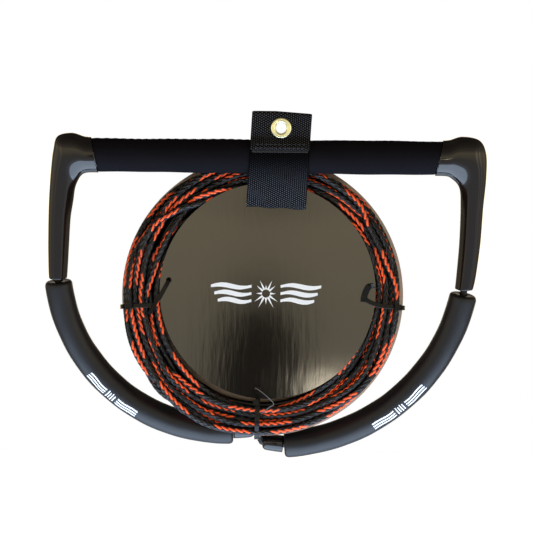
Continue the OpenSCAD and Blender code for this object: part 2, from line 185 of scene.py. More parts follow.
def make_floor():
    """A white floor below, which only the camera sees."""
    mesh = bpy.data.meshes.new("floor")
    half, z = 9.0, -0.4
    corners = [(-half, -half, z), (half, -half, z), (half, half, z), (-half, half, z)]
    mesh.from_pydata(corners, [], [(0, 1, 2, 3)])
    floor = bpy.data.objects.new("floor", mesh)
    bpy.context.scene.collection.objects.link(floor)
    material = bpy.data.materials.new("pale_floor")
    material.use_nodes = True
    shader = material.node_tree.nodes["Principled BSDF"]
    fill(shader, Base_Color=(0.85, 0.85, 0.85, 1), Roughness=0.9)
    fill(shader, Emission_Color=(1, 1, 1, 1), Emission_Strength=0.86)
    mesh.materials.append(material)
    floor.visible_diffuse = False
    floor.visible_glossy = False
    floor.visible_shadow = False


# ---------- small helpers ----------


def arc_points(centre, radius, start, end, steps):
    turn = np.radians(np.linspace(start, end, steps + 1))
    return [(centre[0] + radius * math.cos(a), centre[1] + radius * math.sin(a)) for a in turn]


def smooth_path(points, steps):
    """A Catmull-Rom curve through the points."""
    p = np.array(points, float)
    n = len(p)
    out = []
    for i in range(n - 1):
        a, b, c, d = p[max(i - 1, 0)], p[i], p[i + 1], p[min(i + 2, n - 1)]
        for k in range(steps):
            s = k / steps
            near = 2 * b + (c - a) * s
            far = (2 * a - 5 * b + 4 * c - d) * s * s + (3 * b - a - 3 * c + d) * s**3
            out.append(0.5 * (near + far))
    out.append(p[-1])
    return np.array(out)


def spaced(points, step):
    """The same line with points at even distances."""
    p = np.array(points, float)
    far = np.concatenate([[0], np.cumsum(np.linalg.norm(np.diff(p, axis=0), axis=1))])
    count = max(int(round(far[-1] / step)), 2)
    at = np.linspace(0, far[-1], count + 1)
    return np.stack([np.interp(at, far, p[:, k]) for k in range(p.shape[1])], axis=1)


def tangents(p):
    t = np.gradient(p, axis=0)
    return t / np.linalg.norm(t, axis=1)[:, None]


def directions(p, up):
    """Tangents, and two square directions that start from up and don't twist."""
    t = tangents(p)
    u = np.zeros_like(p)
    v = np.array(up, float)
    for i in range(len(p)):
        v = v - (v @ t[i]) * t[i]
        v /= np.linalg.norm(v)
        u[i] = v
    return t, u, np.cross(t, u)


def ring_faces(rings, sides):
    """The side faces between rings of points."""
    faces = []
    for i in range(rings - 1):
        for a in range(sides):
            b = (a + 1) % sides
            low, high = i * sides, (i + 1) * sides
            faces.append((low + a, high + a, high + b, low + b))
    return faces


def end_caps(count, sides):
    """The two flat ends of a tube that has count points in rings of sides."""
    return [tuple(range(sides)), tuple(count - 1 - k for k in range(sides))]


def tube_faces(rings, sides):
    return [f[::-1] for f in ring_faces(rings, sides)] + end_caps(rings * sides, sides)


def add_piece(name, verts, faces, materials, body, smooth=True, face_slots=None):
    mesh = bpy.data.meshes.new(name)
    mesh.from_pydata([tuple(v) for v in verts], [], faces)
    for m in materials:
        mesh.materials.append(m)
    if face_slots is not None:
        mesh.polygons.foreach_set("material_index", face_slots)
    mesh.polygons.foreach_set("use_smooth", [smooth] * len(mesh.polygons))
    mesh.update()
    piece = bpy.data.objects.new(name, mesh)
    bpy.context.scene.collection.objects.link(piece)
    if body:  # a blended piece rides on none
        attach(piece, body)
    return piece


def in_handle(points):
    """Points drawn about the bar's middle, legs straight down, in their place."""
    m = np.array(HANDLE)
    return np.array(points, float) @ m[:3, :3].T + m[:3, 3]


# ---------- materials ----------


def plain(name, colour, roughness, **more):
    """A shader with fine noise in its roughness."""
    material = bpy.data.materials.new(name)
    material.use_nodes = True
    tree, links = material.node_tree, material.node_tree.links
    shader = tree.nodes["Principled BSDF"]
    fill(shader, Base_Color=(*colour, 1), **more)
    where = add_node(tree, "TexCoord")
    noise = add_node(tree, "TexNoise", Scale=120, Detail=4)
    least, most = max(roughness * 0.85, 0.02), min(roughness * 1.15, 1)
    spread = add_node(tree, "MapRange", To_Min=least, To_Max=most)
    links.new(where.outputs["Object"], noise.inputs["Vector"])
    links.new(noise.outputs["Fac"], spread.inputs["Value"])
    links.new(spread.outputs["Result"], shader.inputs["Roughness"])
    return material


def bumpy(material, scale, strength, distance, detail=3, tall=1.0):
    """Adds a noise bump, on top of any bump before it. tall stretches its grain upwards."""
    tree, links = material.node_tree, material.node_tree.links
    where = add_node(tree, "TexCoord")
    noise = add_node(tree, "TexNoise", Scale=scale, Detail=detail)
    bump = add_node(tree, "Bump", Strength=strength, Distance=distance)
    normal = tree.nodes["Principled BSDF"].inputs["Normal"]
    if normal.is_linked:
        links.new(normal.links[0].from_socket, bump.inputs["Normal"])
    stretch = add_node(tree, "VectorMath")
    stretch.operation = "MULTIPLY"
    stretch.inputs[1].default_value = (1, 1, 1 / tall)
    links.new(where.outputs["Object"], stretch.inputs[0])
    links.new(stretch.outputs["Vector"], noise.inputs["Vector"])
    links.new(noise.outputs["Fac"], bump.inputs["Height"])
    links.new(bump.outputs["Normal"], normal)
    return material


def grip_cloth():
    m = plain("grip_cloth", (0.007, 0.0066, 0.0086), 0.85, Specular_IOR_Level=0.02)
    return bumpy(m, 1500, 0.35, 0.0004)


def elbow_plastic():
    m = plain("elbow_plastic", (0.006, 0.0045, 0.0036), 0.07, Specular_IOR_Level=0.5)
    return bumpy(m, 60, 0.05, 0.001)


def float_foam():
    m = plain("float_foam", (0.0045, 0.0046, 0.006), 0.42, Specular_IOR_Level=0.36)
    return bumpy(m, 900, 0.12, 0.0004)


def gloss_black():
    return bumpy(plain("gloss_black", (0.005, 0.005, 0.006), 0.07), 200, 0.03, 0.0005)


def rope_yarn(name, colour, roughness):
    return bumpy(plain(name, colour, roughness, Specular_IOR_Level=0.45), 1800, 0.25, 0.0003)


def brass_metal():
    return bumpy(plain("brass", (0.93, 0.95, 0.62), 0.24, Metallic=1.0), 300, 0.05, 0.0003)


def tie_nylon():
    m = plain("tie_nylon", (0.003, 0.003, 0.0035), 0.22, Specular_IOR_Level=0.22)
    return bumpy(m, 400, 0.1, 0.0003)


def clear_nylon():
    return bumpy(plain("clear_nylon", (0.16, 0.16, 0.17), 0.25), 400, 0.1, 0.0002)


def napped():
    return bumpy(plain("napped_pile", (0.01, 0.01, 0.012), 0.95, Sheen_Weight=0.2), 2500, 0.8, 0.0006)


def white_ink():
    return bumpy(plain("white_ink", (0.82, 0.84, 0.86), 0.45), 500, 0.05, 0.0002)


def bar_metal():
    return bumpy(plain("bar_metal", (0.78, 0.79, 0.8), 0.3, Metallic=1.0), 400, 0.05, 0.0003)


KNUCKLE = (0.0018, 0.0021)  # width and length of one knuckle of the webbing's weave
SHADED_STRETCH = (0.036, 0.026)  # middle and half length, along the strap, of the stretch near the bar that is painted darker: painted shade


def webbing_cloth():
    """Brick-like weave from the strap's own flat coordinates, which are in metres. Its colour is the weave
    pattern with painted highlights on the knuckles and painted shade in the grooves, and painted shade over
    a stretch near the bar.
    """
    m = plain("webbing_cloth", (0.02, 0.022, 0.027), 0.6, Specular_IOR_Level=0.02)
    tree, links = m.node_tree, m.node_tree.links
    calc = calculator(tree)
    shader = tree.nodes["Principled BSDF"]
    flat = add_node(tree, "UVMap")
    flat.uv_map = "flat"
    split = add_node(tree, "SeparateXYZ")
    links.new(flat.outputs["UV"], split.inputs["Vector"])
    across = calc("DIVIDE", split.outputs["X"], KNUCKLE[0])
    along = calc("DIVIDE", split.outputs["Y"], KNUCKLE[1])
    rib = calc("ABSOLUTE", calc("SINE", calc("MULTIPLY", across, math.pi)))
    # every second rib is moved by half a knuckle
    shift = calc("MULTIPLY", calc("FLOOR", across), 0.5)
    stitch = calc("SINE", calc("MULTIPLY", calc("ADD", along, shift), 2 * math.pi))
    stitch = calc("ADD", calc("MULTIPLY", stitch, 0.45), 0.55)
    height = calc("MULTIPLY", rib, stitch)
    bump = add_node(tree, "Bump", Strength=0.9, Distance=0.0005)
    links.new(height, bump.inputs["Height"])
    links.new(bump.outputs["Normal"], shader.inputs["Normal"])
    # weave pattern in the colour, with painted highlights on the raised knuckles and painted shade in the
    # grooves between them
    ramp = add_node(tree, "ValToRGB")
    ramp.color_ramp.elements[0].color = (0.0015, 0.0015, 0.002, 1)
    ramp.color_ramp.elements[1].color = (0.092, 0.096, 0.108, 1)
    ramp.color_ramp.elements[0].position = 0.3
    links.new(height, ramp.inputs["Fac"])
    # painted shade: the base colour goes towards black over the stretch near the bar
    painted_shade = calc("DIVIDE", calc("SUBTRACT", split.outputs["Y"], SHADED_STRETCH[0]), SHADED_STRETCH[1])
    painted_shade = calc("EXPONENT", calc("MULTIPLY", calc("MULTIPLY", painted_shade, painted_shade), -1.0))
    shade_mix = add_node(tree, "Mix")
    shade_mix.data_type = "RGBA"
    fill(shade_mix, B=(0.001, 0.001, 0.0012, 1))
    links.new(calc("MULTIPLY", painted_shade, 0.93), shade_mix.inputs["Factor"])
    links.new(ramp.outputs["Color"], shade_mix.inputs["A"])
    links.new(shade_mix.outputs["Result"], shader.inputs["Base Color"])
    return m


BOARD = (0.34, 0.25, 0.2)  # colour of bare card


def card_stock(name, printed_side, print_colour, gloss, centre):
    """Card with a glossy print on one face (-1 front, 1 back) and bare elsewhere."""
    m = plain(name, print_colour, gloss, IOR=1.85)
    tree, links = m.node_tree, m.node_tree.links
    calc = calculator(tree)
    where = add_node(tree, "TexCoord")
    split = add_node(tree, "SeparateXYZ")
    links.new(where.outputs["Normal"], split.inputs["Vector"])
    facing = calc("MULTIPLY", split.outputs["Y"], printed_side)
    printed = calc("GREATER_THAN", facing, 0.5)
    mix = add_node(tree, "Mix")
    mix.data_type = "RGBA"
    fill(mix, A=(*BOARD, 1), B=(*print_colour, 1))
    links.new(printed, mix.inputs["Factor"])
    links.new(mix.outputs["Result"], tree.nodes["Principled BSDF"].inputs["Base Color"])
    bulged(m, centre, 1.1)
    bumpy(m, 20, 0.12, 0.0012, detail=2)
    return bumpy(m, 210, 0.4, 0.00016, detail=4, tall=7.0)


def bulged(material, centre, radius):
    """Bends the surface's normals as on a card that bulges slightly forward about its centre."""
    tree, links = material.node_tree, material.node_tree.links
    calc = calculator(tree)
    where = add_node(tree, "TexCoord")
    split = add_node(tree, "SeparateXYZ")
    bump = add_node(tree, "Bump", Strength=1.0, Distance=1.0)
    links.new(where.outputs["Object"], split.inputs["Vector"])
    total = 0.0
    for axis, middle in zip("XZ", centre):
        away = calc("SUBTRACT", split.outputs[axis], middle)
        total = calc("ADD", total, calc("MULTIPLY", away, away))
    links.new(calc("MULTIPLY", total, -0.5 / radius), bump.inputs["Height"])
    links.new(bump.outputs["Normal"], tree.nodes["Principled BSDF"].inputs["Normal"])


# ---------- braided rope ----------

STROKE_STEP = 0.0062  # along the rope, between strokes of one column
STROKE_HALF = 0.0056  # half of a stroke's length
LINE_STEP = 0.0012  # between the points that a rope is drawn along


def stroke_places(length, step, covered):
    """Column, number and distance along the rope of each stroke that can be seen."""
    rows = []
    for column in range(6):
        m = np.arange(int(length / STROKE_STEP))
        s = (m + 0.5 + 0.5 * (column % 2)) * STROKE_STEP
        fits = (s > STROKE_HALF * 0.2) & (s < length - STROKE_HALF * 0.2)
        m, s = m[fits], s[fits]
        shown = covered[np.clip((s / step).astype(int), 0, len(covered) - 1)]
        m, s = m[shown], s[shown]
        rows.append(np.stack([np.full(len(m), column), m, s], axis=1))
    return np.concatenate(rows).T


def stroke_faces():
    """One stroke's faces: its two tips are points 0 and 1, and five rings of six follow."""
    faces = []
    for j in range(4):
        for q in range(6):
            r = (q + 1) % 6
            low, high = 2 + j * 6, 8 + j * 6
            faces.append((low + q, low + r, high + r, high + q))
    faces += [(0, 2 + (q + 1) % 6, 2 + q) for q in range(6)]
    faces += [(1, 26 + q, 26 + (q + 1) % 6) for q in range(6)]
    return faces


def stroke_grains(p, u, w, spin, radius, covered, orange_at):
    """The visible yarn strokes of a braid: plump S-shaped grains in six columns round the rope."""
    step = np.linalg.norm(p[1] - p[0])
    column, m, s = stroke_places(step * (len(p) - 1), step, covered)
    size = radius / 0.0031
    wide, thick, slant, sunk = 0.00205 * size, 0.0015 * size, 0.0019 * size, 0.00035 * size
    sign = np.where(column % 2 == 0, 1.0, -1.0)
    verts = np.zeros((len(s), 32, 3))

    def place(shift, side, lift):
        """Points at a distance along, sideways and out from the rope's middle."""
        at = np.clip((s + shift) / step, 0, len(p) - 1.001)
        i, f = at.astype(int), (at % 1)[:, None]
        centre = p[i] * (1 - f) + p[i + 1] * f
        uu = u[i] * (1 - f) + u[i + 1] * f
        ww = w[i] * (1 - f) + w[i + 1] * f
        turn = (column * math.pi / 3 + spin[i] + side / radius)[:, None]
        out = np.cos(turn) * uu + np.sin(turn) * ww
        return centre + out * lift

    for j, part in enumerate((-0.78, -0.4, 0.0, 0.4, 0.78)):
        plump = math.sqrt(1 - abs(part) ** 3.4)
        drift = sign * slant * math.sin(part * math.pi / 2)
        core = radius - thick - sunk * part * part * 2
        for q, a in enumerate(np.radians([0, 60, 120, 180, 240, 300])):
            side = drift + wide * plump * math.cos(a)
            lift = core + thick * plump * math.sin(a)
            verts[:, 2 + j * 6 + q] = place(STROKE_HALF * part, side, lift)
    for j, part in enumerate((-1.0, 1.0)):
        verts[:, j] = place(STROKE_HALF * part, sign * slant * part, radius - thick * 1.7)
    tone = np.where(orange_at(column, m), 2, np.where((column * 5 + m * 3) % 4 == 0, 1, 0))
    return verts, tone.astype(int)


def orange_runs(column, m):
    """Orange shows in runs of about six strokes, on two opposite columns in turn."""
    wander = m + 1.6 * np.sin(m * 0.131) + 1.1 * np.sin(m * 0.047 + 2)
    first = (column == 0) & (wander % 9.4 < 5.9)
    second = (column == 3) & ((wander + 4.7) % 9.4 < 5.6)
    return first | second


def rope_tube(p, u, w, radius, sides):
    """Points of a round tube, ring by ring."""
    angles = np.radians(np.arange(sides) * 360 / sides)
    ring = np.cos(angles)[None, :, None] * u[:, None] + np.sin(angles)[None, :, None] * w[:, None]
    verts = p[:, None] + ring * np.asarray(radius).reshape(-1, 1, 1)
    return verts.reshape(-1, 3)


def braided(name, points, radius, materials, body, covered=None, runs=orange_runs):
    """A rope along the points: a dark core, and yarn strokes where covered says that they can be seen."""
    p = spaced(points, LINE_STEP)
    _, u, w = directions(p, (0, 1, 0))
    seen = np.ones(len(p), bool) if covered is None else covered(p)
    far = np.arange(len(p)) * LINE_STEP
    spin = far * 6.9 + 0.9 * np.sin(far * 9.0) + 0.6 * np.sin(far * 23.0 + 1)
    grains, tone = stroke_grains(p, u, w, spin, radius, seen, runs)
    few = np.unique(np.r_[0 : len(p) : 3, len(p) - 1])
    core = np.where(seen, radius * 0.76, radius * 0.95)[few]
    sides = 8
    tube = rope_tube(p[few], u[few], w[few], core, sides)
    faces = tube_faces(len(few), sides)
    slots = [0] * len(faces)
    stroke = stroke_faces()
    for g, kind in enumerate(tone.tolist()):
        first = len(tube) + 32 * g
        faces += [tuple(first + k for k in face) for face in stroke]
        slots += [kind] * len(stroke)
    verts = np.concatenate([tube, grains.reshape(-1, 3)])
    return add_piece(name, verts, faces, materials, body, True, slots), p


def coil_slots():
    """Radius and depth of each turn's place, in the order that the rope is wound."""
    third = [(r, 39.0) for r in (92.6, 98.6, 104.6, 110.6, 116.2)]
    rear = [(r, 44.2) for r in (115.0, 109.6, 104.0, 98.4, 93.4)]
    front = [(r, 28.4) for r in (110.4, 93.0, 98.8, 104.6, 116.0)]
    second = [(r, 33.8) for r in (113.2, 107.6, 101.8, 95.6)]
    return np.array(third + rear + front + second) * 0.001


def eased(share):
    share = np.clip(share, 0, 1)
    return share * share * (3 - 2 * share)


def coil_path():
    """The wound rope, from where the lead joins it to where the tail leaves, clockwise from the front.

    Each turn keeps its place in coil_slots for most of the way round, and steps over to the next
    place in a window at the same stretch of every turn.
    """
    slots = coil_slots()
    start, window, half_window, step = -42, 188, 26.0, 2.0  # degrees
    count = int((360 * (len(slots) - 1) - 22) / step)
    turned = np.arange(count + 1) * step
    angle = start - turned
    windows = (turned - window) / 360 + 1
    number = np.floor(windows).astype(int)
    near = (windows - number) * 360  # degrees past the last window's middle
    low, mid, high = (np.clip(number + k, 0, len(slots) - 1) for k in (-1, 0, 1))
    late = eased((near - (360 - half_window)) / (2 * half_window))
    early = eased((near + half_window) / (2 * half_window))
    started = near < half_window
    place = slots[mid] + (slots[high] - slots[mid]) * late[:, None]
    place[started] = (slots[low] + (slots[mid] - slots[low]) * early[:, None])[started]
    swing = np.where(started, early, late)
    jump = np.where(started, slots[mid, 0] - slots[low, 0], slots[high, 0] - slots[mid, 0])
    # 1 in the middle of a step to a far place, where the rope crosses over its neighbours
    cross = 4 * swing * (1 - swing) * np.clip(np.abs(jump) / 0.01 - 0.7, 0, 1)
    wave = np.radians(angle)
    turn = np.arange(count + 1) * step / 360
    radius = place[:, 0] + 0.0034 * np.sin(wave * 2 + turn * 2.1) + 0.002 * np.sin(wave * 5 + turn * 4.3)
    depth = place[:, 1] + 0.0022 * np.sin(wave * 3 + turn * 3.3 + 1) - 0.0048 * cross
    return relax_coil(angle, radius, depth, int(360 / step), cross)


# how far out the middle of the outermost turn lies, by the angle round the coil
OUTLINE = (
    (0, 0.115), (30, 0.1172), (50, 0.1192), (90, 0.118), (120, 0.1205), (135, 0.1212),
    (155, 0.1198), (180, 0.1188), (205, 0.1208), (222, 0.1214), (245, 0.1186), (262, 0.1152),
    (285, 0.1141), (310, 0.1136), (330, 0.115), (360, 0.115),
)


def relax_coil(angle, radius, depth, per_turn, cross):
    """Pushes the turns apart until they lie beside each other, and keeps each one smooth."""
    apart = 0.0059  # between the middles of turns that touch
    rope = 0.0031  # from a turn's middle to its outside, with a little room
    card_back, deepest = 0.0246, 0.0448  # depth of the front card's back, and of the rearmost middle
    goal_r, goal_y = radius.copy(), depth.copy()
    count = len(radius)
    turns = -(-count // per_turn)
    turn = np.radians(angle)
    # 1 at the upper left, where turns may lie a little further forward
    bulge = np.exp(-((((angle - 129) % 360 + 180) % 360 - 180) / 24.0) ** 2)
    places, reach = zip(*OUTLINE)
    widest = np.interp(angle % 360, places, reach)
    # the front card's edge, whose middle is above and right of the coil's
    rim = 0.0931 + 0.0038 * np.cos(turn) + 0.0068 * np.sin(turn)
    pad = turns * per_turn - count
    real = np.r_[np.ones(count, bool), np.zeros(pad, bool)].reshape(turns, per_turn)
    pair = real[:, None] & real[None]
    for _ in range(140):
        r = np.r_[radius, np.zeros(pad)].reshape(turns, per_turn)
        y = np.r_[depth, np.zeros(pad)].reshape(turns, per_turn)
        dr, dy = r[:, None] - r[None], y[:, None] - y[None]
        gap = np.hypot(dr, dy) + 1e-9
        push = np.where(pair & (gap < apart) & (gap > 1e-8), (apart - gap) / gap * 0.32, 0)
        radius = radius + (push * dr).sum(1).ravel()[:count]
        depth = depth + (push * dy).sum(1).ravel()[:count]
        radius += 0.03 * (goal_r - radius)
        depth += 0.03 * (goal_y - depth)
        radius = np.clip(radius, 0.0916, widest)
        past = np.clip(radius - rim, 0, rope)
        front = np.where(radius < rim + rope, card_back + np.sqrt(rope**2 - past**2), card_back)
        front = np.maximum(front, 0.0268 - 0.0045 * np.maximum(cross, bulge))
        depth = np.clip(depth, front, deepest)
        for line in (radius, depth):
            line[1:-1] += 0.25 * (line[2:] + line[:-2] - 2 * line[1:-1])
    x = COIL[0] + radius * np.cos(turn)
    z = COIL[1] + radius * np.sin(turn)
    return np.stack([x, depth, z], axis=1)


def in_coil(angle, radius, y):
    """A point by its angle and distance from the coil's middle."""
    a = math.radians(angle)
    return (COIL[0] + radius * math.cos(a), y, COIL[1] + radius * math.sin(a))


ROPE_R = 0.00305
# the rope's route: from the bridle up the back, through the rear card and in to the coil
LEAD_OUTSIDE = [
    (-0.0156, 0.0582, -0.2582), (-0.013, 0.0548, -0.2465), (-0.0105, 0.0528, -0.232),
    (-0.01, 0.0521, -0.214), (-0.014, 0.0521, -0.192), (-0.022, 0.0521, -0.172),
    (-0.03, 0.0521, -0.155), (-0.0345, 0.0516, -0.143), (-0.035, 0.0484, -0.132),
]
LEAD_INSIDE = [
    (-0.035, 0.0484, -0.132),
    (-0.034, 0.043, -0.124),
    (-0.031, 0.04, -0.117),
    in_coil(100, 0.042, 0.0395),
    in_coil(75, 0.055, 0.0395),
    in_coil(50, 0.066, 0.0395),
    in_coil(25, 0.075, 0.0395),
    in_coil(0, 0.081, 0.0395),
    in_coil(-22, 0.086, 0.0395),
]
# from the coil to the boat loop
TAIL = [
    in_coil(-40, 0.084, 0.0315), in_coil(-60, 0.074, 0.0315), in_coil(-80, 0.062, 0.0315),
    in_coil(-102, 0.05, 0.0315), in_coil(-128, 0.04, 0.0315), in_coil(-155, 0.033, 0.0315),
]


def visible_turns(p):
    """Where the rope can be seen: the coil's front layers and outer turns, and the ends inside the coil."""
    out = np.hypot(p[:, 0] - COIL[0], p[:, 2] - COIL[1])
    return (out > 0.089) & ((p[:, 1] < 0.0325) | (out > 0.1115)) | (out < 0.08)


def make_ropes(yarn):
    outside = smooth_path(LEAD_OUTSIDE, 8)
    lead, lead_line = braided("rope_lead_outside", outside, ROPE_R, yarn, None)
    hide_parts("rope_lead")
    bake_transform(lead)
    wound = coil_path()
    inside = smooth_path(LEAD_INSIDE + [tuple(wound[0]), tuple(wound[3])], 6)[:-6]
    tail = smooth_path([tuple(wound[-4]), tuple(wound[-1])] + TAIL, 6)[6:]
    line = np.concatenate([inside[:-1], wound, tail[1:]])
    rope, rope_line = braided("main_rope", line, ROPE_R, yarn, "pack", visible_turns)
    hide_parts("rope_lead", "rope_coil", "rope_tail")
    eye, sleeve = make_boat_loop(yarn)


def make_boat_loop(yarn):
    """The eye for the boat's pylon, at the rope's far end, and the sleeve that closes it."""
    side = [(0, 0.0032), (0.01, 0.0052), (0.024, 0.0105)]
    loop = side + arc_points((0.046, 0), 0.014, 100, -100, 8) + [(a, -b) for a, b in side[::-1]]
    throat = TAIL[-1]
    sleeve_length = 0.022
    turn = math.radians(20)
    line = []
    for a, b in loop:
        a += sleeve_length
        x = throat[0] + a * math.cos(turn) - b * math.sin(turn)
        z = throat[2] + a * math.sin(turn) + b * math.cos(turn)
        line.append((x, throat[1], z))
    eye, _ = braided("boat_eye", smooth_path(line, 4), 0.003, yarn, "pack")
    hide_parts("boat_loop")
    return eye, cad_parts["boat_loop_sleeve"]


# ---------- handle ----------

# the seam between grip and elbow slants: how far out it is at the top and at the bottom
SEAM_TOP, SEAM_LOW = 0.1517, 0.1448


def elbow_sections(reach, shoulder):
    """Inner point, outer point and half depth, from the socket to the leg's end.

    shoulder is how square the elbow's outer corner is.
    """
    return [
        ((SEAM_LOW, -0.0155), (SEAM_TOP, 0.0155), 0.0155),
        ((0.1545, -0.0158), (0.1572, 0.0161), 0.0152),
        ((0.159, -0.018), (0.168, 0.0191), 0.0144),
        ((0.1631 + 0.001 * shoulder, -0.023), (0.1816 + 0.0012 * shoulder, 0.016), 0.0134),
        ((0.1655 + 0.001 * shoulder, -0.03), (0.1866 + 0.0024 * shoulder, 0.004), 0.0126),
        ((0.1665 + 0.0007 * shoulder, -0.041), (0.1879 + 0.0015 * shoulder, -0.017), 0.012),
        ((0.1675, -0.056), (0.1874, -0.044), 0.0116),
        ((0.1676, -0.078), (0.1865, -0.074), 0.011),
        ((0.1672, 0.011 - reach), (0.1847, 0.012 - reach), 0.0104),
        ((0.167, -reach), (0.1832, -reach), 0.01),
    ]


# half of a leg's section, from its outer side to its inner: full in front, and bevelled inside
CREASED = [
    (1.0, 0.0), (0.95, 0.34), (0.82, 0.62), (0.58, 0.83), (0.25, 0.94), (-0.1, 0.97),
    (-0.34, 0.93), (-0.5, 0.8), (-0.72, 0.5), (-0.92, 0.2), (-1.0, 0.0),
]


def elbow_rings(bow, reach, shoulder, sides):
    """Rings from the socket to the leg's end: plump ovals that turn into the leg's creased section."""
    steps = 8

    def bent(point):
        t = max(0.0, (-point[1] - 0.015) / (reach - 0.015))
        return (point[0] + bow * t * t, point[1])

    sections = elbow_sections(reach, shoulder)
    inner = smooth_path([bent(s[0]) for s in sections], steps)
    outer = smooth_path([bent(s[1]) for s in sections], steps)
    depth = smooth_path([(s[2],) for s in sections], steps)[:, 0]
    middle, half = (inner + outer) / 2, (outer - inner) / 2
    angles = np.radians(np.arange(sides) * 360 / sides)
    oval = np.stack([np.cos(angles), np.sin(angles)], axis=1)
    front = smooth_path(CREASED, steps)
    far = np.linspace(0, len(front) - 1, sides // 2 + 1)
    front = np.stack([np.interp(far, np.arange(len(front)), front[:, k]) for k in (0, 1)], axis=1)
    creased = np.concatenate([front, front[-2:0:-1] * [1, -1]])

    def ring(i, share, rise=0.0, hole=None):
        """Ring i at a share of its size, or round it the rope's hole at the leg's end."""
        span = half[i] * share
        blend = min(1.0, max(0.0, (i % len(inner) - 22) / 16)) * (hole is None)
        c, s = (oval * (1 - blend) + creased * blend).T
        x = middle[i][0] + span[0] * c
        z = middle[i][1] + span[1] * c + rise
        return np.stack([x, -(depth[i] * share if hole is None else hole) * s, z], axis=1)

    rope_hole = 0.0042
    share = rope_hole / np.linalg.norm(half[-1])
    rings = [ring(0, k) for k in (0.9, 0.97, 0.995)] + [ring(i, 1.0) for i in range(len(inner) - 1)]
    rings += [ring(-1, 0.985, 0.0002), ring(-1, 0.93)]
    rings += [ring(-1, share, 0, rope_hole), ring(-1, share, 0.008, rope_hole)]
    return rings


def make_elbow(name, node, bow, reach, side, materials):
    """side is -1 on the left and 1 on the right. The socket's dull end takes the second material."""
    sides = 56
    rings = np.array(elbow_rings(bow, reach, side, sides))
    verts = rings.reshape(-1, 3) * np.array([side, 1, 1])
    faces = ring_faces(len(rings), sides)
    slots = [1] * (2 * sides) + [0] * (len(faces) - 2 * sides) + [1, 1]
    if side > 0:
        faces = [f[::-1] for f in faces]
    faces += end_caps(len(verts), sides)
    piece = add_piece(name, in_handle(verts), faces, materials, "handle", True, slots)
    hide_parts(node)


def make_grip(material):
    """The padded sleeve, with slanted ends and the slight ripples of its wrapped cloth."""
    sides, count = 64, 260
    half_length, radius = 0.148, 0.0145
    ends = [(-1.0, 0.93), (-1.0, 0.975), (-0.997, 0.995)]
    stations = ends + [(x, 1.0) for x in np.linspace(-0.992, 0.992, count)]
    stations += [(-x, k) for x, k in reversed(ends)]
    verts = []
    for share, shrink in stations:
        x = half_length * share
        for k in range(sides):
            a = 2 * math.pi * k / sides
            up, out = math.sin(a), math.cos(a)
            slant = 0.0034 * up * share**3
            top = max(0.0, up) ** 2 * (1.0 if x < 0.01 else 0.35)
            ripple = 0.00016 * math.sin(x * 900 + 2.5 * math.sin(x * 61)) * top
            ripple += 0.00022 * math.sin(x * 47 + a * 2) + 0.00012 * math.sin(x * 131 + a * 3 + 1)
            r = radius * shrink + ripple
            verts.append((x + slant, -r * out, r * up))
    faces = ring_faces(len(stations), sides) + [f[::-1] for f in end_caps(len(verts), sides)]
    piece = add_piece("padded_grip", in_handle(verts), faces, [material], "handle")
    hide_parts("grip_sleeve")


FLOAT_R = 0.0119
# centre and radius of each float's arc, and the angles of its upper and lower ends
LEFT_FLOAT = ((-0.033, -0.0952), 0.1465, 272.4 - math.degrees(0.2202 / 0.1465), 272.4)
RIGHT_FLOAT = ((0.0072, -0.0873), 0.1665, -86.5 + math.degrees(0.2189 / 0.1665), -86.5)


def on_float(arc, a, beta, rho):
    """A point on a float: a is the angle along it, beta goes round it from outside (0) to front (90)."""
    centre, radius = arc[0], arc[1]
    flat = radius + rho * math.cos(beta)
    return (centre[0] + flat * math.cos(a), -rho * math.sin(beta), centre[1] + flat * math.sin(a))


def make_float(name, node, arc, body, material):
    sides, count = 48, 120
    bore = 0.0042
    start, end = math.radians(arc[2]), math.radians(arc[3])
    length = abs(end - start) * arc[1]
    edge = [(0.008, bore), (0.0002, bore), (0, bore + 0.0003), (0, 0.0088), (0.0002, 0.0098)]
    edge += [(0.0007, 0.0107), (0.0014, 0.0113), (0.0023, 0.0117), (0.0034, FLOAT_R)]
    stations = edge + [(s, FLOAT_R) for s in np.linspace(0.006, length - 0.006, count)]
    stations += [(length - s, r) for s, r in reversed(edge)]
    verts = []
    for s, rho in stations:
        a = start + (end - start) * s / length
        for k in range(sides):
            beta = 2 * math.pi * k / sides
            soft = 0.0001 * math.sin(s * 90 + beta * 2) + 0.00007 * math.sin(s * 210 + beta * 3 + 1)
            verts.append(on_float(arc, a, beta, rho + (soft if rho == FLOAT_R else 0)))
    faces = ring_faces(len(stations), sides)
    if end > start:
        faces = [f[::-1] for f in faces]
    piece = add_piece(name, in_handle(verts), faces, [material], body)
    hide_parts(node)


def lathed(profile, sides):
    """Rings of points round the Z axis, from a profile of radii and heights."""
    turns = [2 * math.pi * k / sides for k in range(sides)]
    return [(r * math.cos(a), r * math.sin(a), h) for r, h in profile for a in turns]


def make_sleeve(name, node, arc, gap, lean, side, material):
    """A glossy end sleeve with a rounded nose, lathed along the rope.

    gap is its distance from the float's end, to the right, and lean its angle from upright, to side.
    """
    sides = 48
    end = math.radians(arc[3])
    x = arc[0][0] + arc[1] * math.cos(end) + gap
    z = arc[0][1] + arc[1] * math.sin(end)
    profile = [(0.0033, 0), (0.0071, 0), (0.0075, 0.0004), (0.0074, 0.006), (0.0071, 0.0125)]
    profile += [(0.0069, 0.0145), (0.0064, 0.016), (0.0055, 0.0172), (0.0044, 0.0178), (0.0034, 0.018)]
    profile += [(0.0033, 0.0172), (0.0033, 0.004)]
    turn = Matrix.Rotation(math.radians(lean * side), 3, "Y")
    verts = [turn @ Vector(point) + Vector((x, 0, z)) for point in lathed(profile, sides)]
    faces = [f[::-1] for f in ring_faces(len(profile), sides)]
    piece = add_piece(name, in_handle(verts), faces, [material], "handle")
    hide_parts(node)


